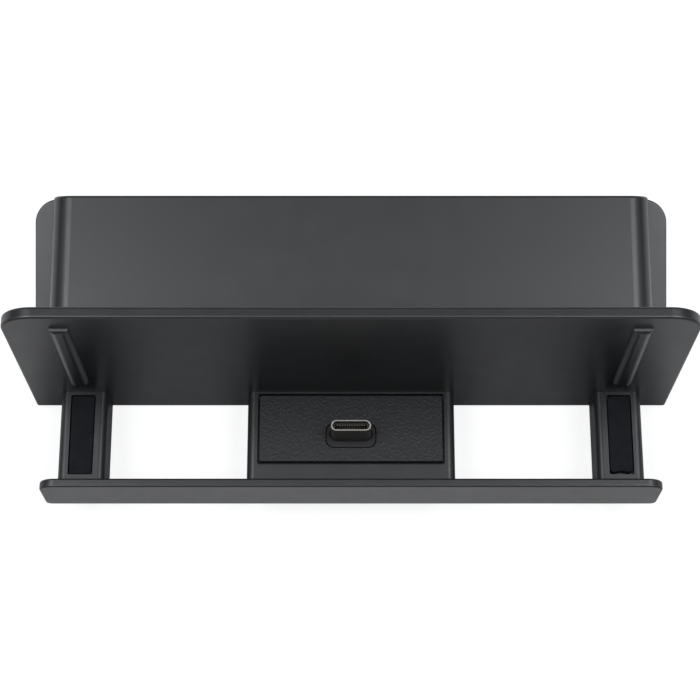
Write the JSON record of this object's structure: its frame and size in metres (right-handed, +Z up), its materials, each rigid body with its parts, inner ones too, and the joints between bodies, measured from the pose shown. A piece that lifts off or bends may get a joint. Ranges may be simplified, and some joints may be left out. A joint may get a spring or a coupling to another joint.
{
  "type": "charging dock",
  "caption": "Dark grey desk charging dock for a handheld console: leaning back wall, side arms with rubber pads, centre block with an upright plug, front lip and a wedge housing behind.",
  "frame": {"origin": "middle of the dock's footprint, on the surface that the feet stand on", "axes": "+X along the width, to the right seen from the front; -Y towards the user; +Z up"},
  "size_m": [0.1334, 0.0639, 0.0493],
  "materials": {
    "shell_plastic": "satin moulded plastic with a very fine spark texture",
    "panel_plastic": "moulded plastic with a leather-like grain",
    "collar_plastic": "smooth overmoulded plastic",
    "plug_metal": "drawn plated steel",
    "insulator_plastic": "black moulded plastic",
    "contact_metal": "plated contact metal",
    "board_laminate": "glass laminate with solder mask",
    "socket_plastic": "moulded plastic",
    "ribbon_film": "flexible film over flat wires",
    "screw_steel": "plated steel",
    "grip_rubber": "matt soft rubber",
    "foot_rubber": "matt rubber",
    "chip_plastic": "moulded package",
    "capacitor_ceramic": "fired ceramic with tinned ends"
  },
  "bodies": {
    "root": {"backrest_cradle": "shell_plastic", "base_plate": "shell_plastic", "rear_housing": "shell_plastic", "block_cover": "shell_plastic", "connector_panel": "panel_plastic", "plug_overmould": "collar_plastic", "plug_shell": "plug_metal", "inlet_shell": "plug_metal", "plug_insulator": "insulator_plastic", "inlet_tongue": "insulator_plastic", "plug_contacts": "contact_metal", "plug_board": "board_laminate", "main_board": "board_laminate", "cable_socket_plug": "socket_plastic", "cable_socket_main": "socket_plastic", "ribbon_cable": "ribbon_film", "block_screws": "screw_steel", "board_screws": "screw_steel", "base_screws": "screw_steel", "grip_pad_left": "grip_rubber", "grip_pad_right": "grip_rubber", "foot_front_left": "foot_rubber", "foot_front_right": "foot_rubber", "foot_rear_left": "foot_rubber", "foot_rear_right": "foot_rubber", "controller_chip": "chip_plastic", "inductor": "chip_plastic", "capacitors": "capacitor_ceramic"}
  },
  "joints": []
}
